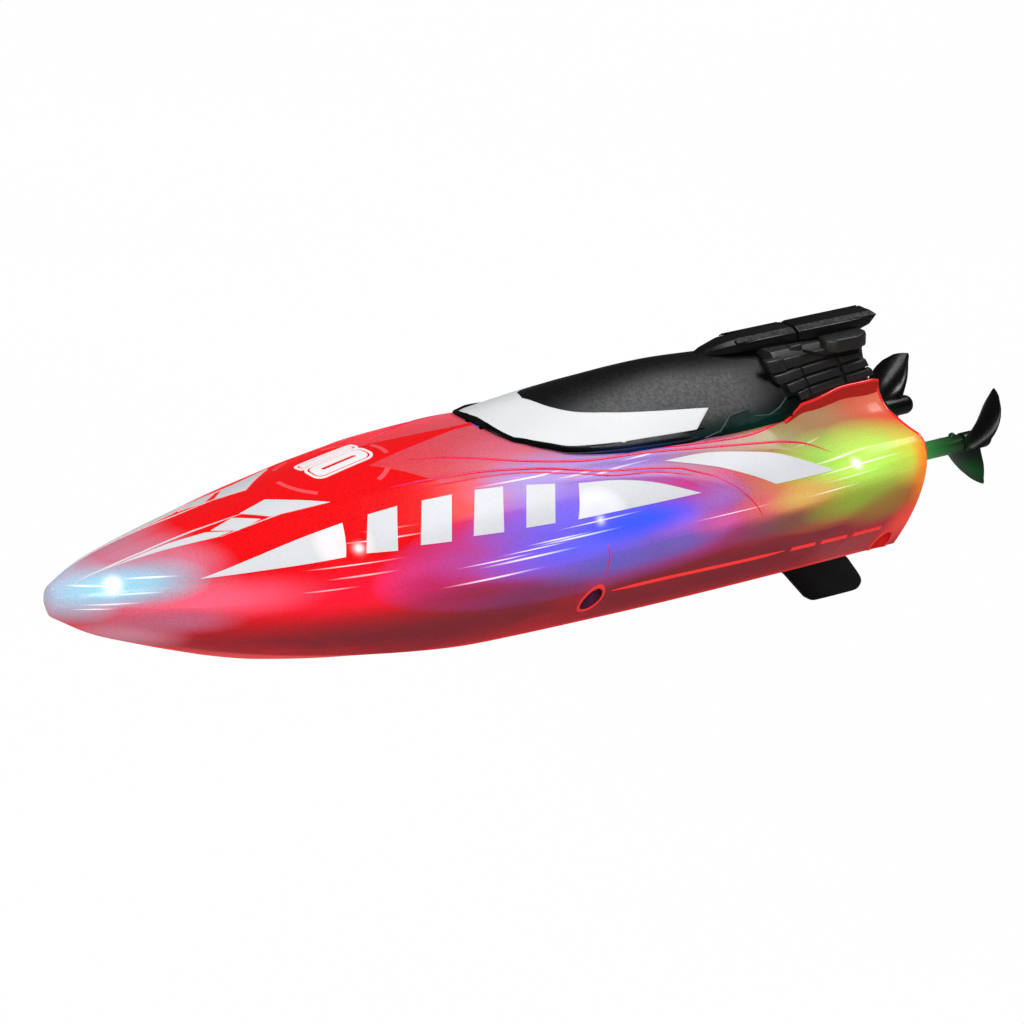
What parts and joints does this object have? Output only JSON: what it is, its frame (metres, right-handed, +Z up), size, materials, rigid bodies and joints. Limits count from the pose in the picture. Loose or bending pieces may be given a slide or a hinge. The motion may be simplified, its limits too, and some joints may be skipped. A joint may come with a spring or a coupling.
{
  "type": "rc boat",
  "caption": "Twin-propeller radio-controlled toy speedboat with a translucent lit hull, lift-up canopy, engine cowl, roof wing and skeg.",
  "frame": {"origin": "centre of the boat's box at its lowest level, the bottom of the skeg", "axes": "+Z up through the deck, the bow towards -Y, the port side towards +X"},
  "size_m": [0.0846, 0.306, 0.088],
  "materials": {
    "red_shell": "glossy translucent red",
    "gasket": "matt",
    "charcoal": "glossy",
    "white": "glossy",
    "black": "satin",
    "steel": "bright",
    "brass": "bright",
    "white_inner": "matt",
    "battery_wrap": "satin",
    "strap": "matt",
    "board": "satin",
    "lamp_cyan": "lit",
    "lamp_red": "lit",
    "lamp_blue": "lit",
    "lamp_green": "lit"
  },
  "bodies": {
    "hull": {"lower_hull": "red_shell", "upper_deck": "red_shell", "hatch_gasket": "gasket", "skeg": "black", "skeg_screw": "steel", "motor_mount": "white_inner", "battery_tray": "white_inner", "battery_pack": "battery_wrap", "battery_strap": "strap", "circuit_board": "board", "control_chip": "black", "radio_module": "steel", "motor_driver": "black", "capacitor": "battery_wrap", "switch_bracket": "white_inner", "power_switch": "black", "bow_lamp_holder": "black", "bow_lamp": "lamp_cyan", "port_mid_hull_screw": "steel", "starboard_mid_hull_screw": "steel", "port_stern_hull_screw": "steel", "starboard_stern_hull_screw": "steel", "bow_hull_screw": "steel", "port_stern_tube": "black", "port_motor": "steel", "port_motor_cap": "white_inner", "port_light_bar": "white_inner", "port_red_lamp": "lamp_red", "port_blue_lamp": "lamp_blue", "port_green_lamp": "lamp_green", "port_water_contact": "steel", "starboard_stern_tube": "black", "starboard_motor": "steel", "starboard_motor_cap": "white_inner", "starboard_light_bar": "white_inner", "starboard_red_lamp": "lamp_red", "starboard_blue_lamp": "lamp_blue", "starboard_green_lamp": "lamp_green", "starboard_water_contact": "steel"},
    "lid": {"canopy": "charcoal", "windscreen": "white", "engine_cowl": "black", "roof_wing": "black", "port_cowl_pod": "black", "starboard_cowl_pod": "black"},
    "switch": {"switch_slider": "white"},
    "port_drive": {"port_propeller": "black", "port_shaft": "steel", "port_coupling": "brass", "port_motor_output": "steel"},
    "starboard_drive": {"starboard_propeller": "black", "starboard_shaft": "steel", "starboard_coupling": "brass", "starboard_motor_output": "steel"}
  },
  "joints": [
    {"name": "lid_hinge", "type": "hinge", "parent": "hull", "child": "lid", "pos_m": [0, -0.0203, 0.0786], "axis": [1, 0, 0], "range_deg": [0, 50]},
    {"name": "port_prop_spin", "type": "hinge", "parent": "hull", "child": "port_drive", "pos_m": [0.0185, 0.101, 0.047], "axis": [0, 1, 0], "continuous": true},
    {"name": "starboard_prop_spin", "type": "hinge", "parent": "hull", "child": "starboard_drive", "pos_m": [-0.0185, 0.101, 0.047], "axis": [0, 1, 0], "continuous": true},
    {"name": "switch_slide", "type": "slide", "parent": "hull", "child": "switch", "axis": [1, 0, 0], "range_m": [0, 0.004]}
  ]
}
